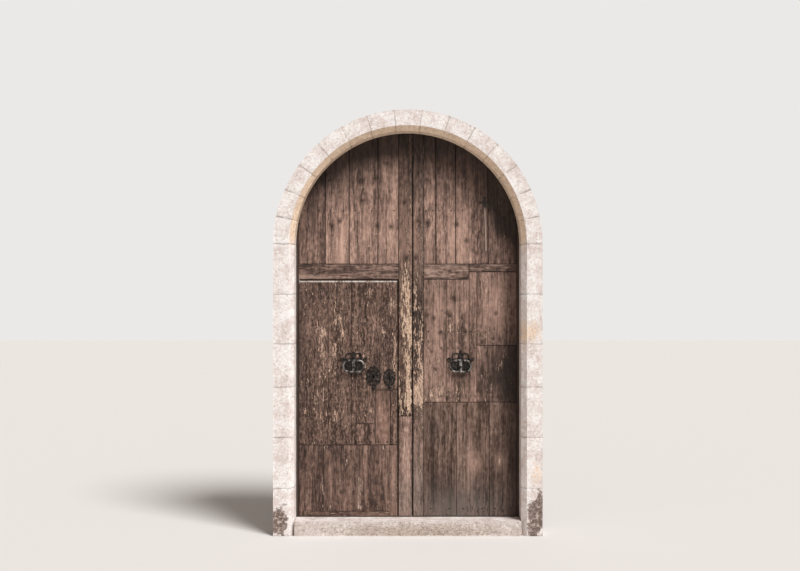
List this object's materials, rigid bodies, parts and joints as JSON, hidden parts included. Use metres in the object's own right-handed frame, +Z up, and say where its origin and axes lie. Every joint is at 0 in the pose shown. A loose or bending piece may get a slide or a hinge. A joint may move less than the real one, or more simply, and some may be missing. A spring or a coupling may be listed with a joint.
{
  "type": "arched double door with wicket",
  "caption": "Weathered arched timber double door with a wicket in its left leaf, ring knockers and pierced escutcheons, hung in a slim dressed stone surround with a step",
  "frame": {"origin": "On the ground, midway across the doorway and midway through the depth of the stone surround", "axes": "+X to the right seen from the street, +Y inward through the doorway, +Z up"},
  "size_m": [2.06, 0.3, 3.262],
  "materials": {
    "upper_boards": "matte",
    "rails": "matte",
    "wicket_boards": "matte",
    "wicket_low": "matte",
    "old_stile": "matte",
    "spliced_foot": "matte",
    "dark_boards": "matte",
    "hidden_timber": "matte",
    "limewashed_stone": "matte",
    "step_stone": "matte",
    "wrought_iron": "matte",
    "worn_iron": "satin"
  },
  "bodies": {
    "stone_frame": {"threshold_slab": "step_stone", "left_jamb_stones": "limewashed_stone", "right_jamb_stones": "limewashed_stone", "left_voussoirs": "limewashed_stone", "right_voussoirs": "limewashed_stone", "keystone": "limewashed_stone", "leaf_pintles": "wrought_iron", "head_bolt_keeper": "wrought_iron"},
    "left_leaf": {"left_hanging_stile": "upper_boards", "left_meeting_stile": "old_stile", "left_stile_splice": "spliced_foot", "left_transom_rail": "rails", "left_upper_boards": "upper_boards", "left_arch_rib": "hidden_timber", "left_upper_ledge": "hidden_timber", "left_leaf_straps": "wrought_iron", "left_leaf_nails": "wrought_iron", "wicket_pintles": "wrought_iron", "left_leaf_keepers": "wrought_iron"},
    "wicket": {"wicket_upper_board_1": "wicket_boards", "wicket_upper_board_2": "wicket_boards", "wicket_upper_board_3": "wicket_boards", "wicket_repair_board": "wicket_boards", "wicket_edge_strip": "wicket_boards", "wicket_small_patch": "wicket_boards", "wicket_lower_boards": "wicket_low", "wicket_bottom_strip": "wicket_low", "wicket_hinge_stile": "hidden_timber", "wicket_lock_stile": "hidden_timber", "wicket_rails": "hidden_timber", "wicket_straps": "wrought_iron", "wicket_nails": "wrought_iron", "left_knocker_plate": "wrought_iron", "large_escutcheon": "wrought_iron", "small_escutcheon": "wrought_iron", "large_lock_case": "wrought_iron", "small_lock_case": "wrought_iron"},
    "left_ring": {"left_knocker_ring": "worn_iron"},
    "large_bolt": {"large_lock_bolt": "worn_iron"},
    "small_bolt": {"small_lock_bolt": "worn_iron"},
    "right_leaf": {"right_hanging_stile": "dark_boards", "right_meeting_stile": "dark_boards", "right_transom_rail": "rails", "right_upper_boards": "upper_boards", "right_patch_boards": "dark_boards", "right_side_strip": "dark_boards", "right_side_upper_board": "dark_boards", "right_side_lower_board": "dark_boards", "right_lower_boards": "dark_boards", "right_arch_rib": "hidden_timber", "right_ledges": "hidden_timber", "right_leaf_straps": "wrought_iron", "right_leaf_nails": "wrought_iron", "bolt_guides": "wrought_iron", "right_knocker_plate": "wrought_iron", "iron_cross": "wrought_iron"},
    "right_ring": {"right_knocker_ring": "worn_iron"},
    "head_bolt_rod": {"head_bolt": "wrought_iron"},
    "foot_bolt_rod": {"foot_bolt": "wrought_iron"},
    "cross_bolt_rod": {"cross_bolt": "wrought_iron"}
  },
  "joints": [
    {"name": "left_leaf_swing", "type": "hinge", "parent": "stone_frame", "child": "left_leaf", "pos_m": [-0.925, 0.137, 1], "axis": [0, 0, 1], "range_deg": [0, 90]},
    {"name": "right_leaf_swing", "type": "hinge", "parent": "stone_frame", "child": "right_leaf", "pos_m": [0.925, 0.137, 1], "axis": [0, 0, -1], "range_deg": [0, 90]},
    {"name": "wicket_swing", "type": "hinge", "parent": "left_leaf", "child": "wicket", "pos_m": [-0.857, 0.134, 1], "axis": [0, 0, 1], "range_deg": [0, 90]},
    {"name": "left_knocker_lift", "type": "hinge", "parent": "wicket", "child": "left_ring", "pos_m": [-0.421, 0.037, 1.332], "axis": [-1, 0, 0], "range_deg": [0, 80]},
    {"name": "right_knocker_lift", "type": "hinge", "parent": "right_leaf", "child": "right_ring", "pos_m": [0.412, 0.039, 1.332], "axis": [-1, 0, 0], "range_deg": [0, 80]},
    {"name": "large_lock_throw", "type": "slide", "parent": "wicket", "child": "large_bolt", "axis": [1, 0, 0], "range_m": [0, 0.03]},
    {"name": "small_lock_throw", "type": "slide", "parent": "wicket", "child": "small_bolt", "axis": [1, 0, 0], "range_m": [0, 0.025]},
    {"name": "head_bolt_throw", "type": "slide", "parent": "right_leaf", "child": "head_bolt_rod", "axis": [0, 0, 1], "range_m": [0, 0.045]},
    {"name": "foot_bolt_throw", "type": "slide", "parent": "right_leaf", "child": "foot_bolt_rod", "axis": [0, 0, -1], "range_m": [0, 0.045]},
    {"name": "cross_bolt_throw", "type": "slide", "parent": "right_leaf", "child": "cross_bolt_rod", "axis": [-1, 0, 0], "range_m": [0, 0.06]}
  ]
}
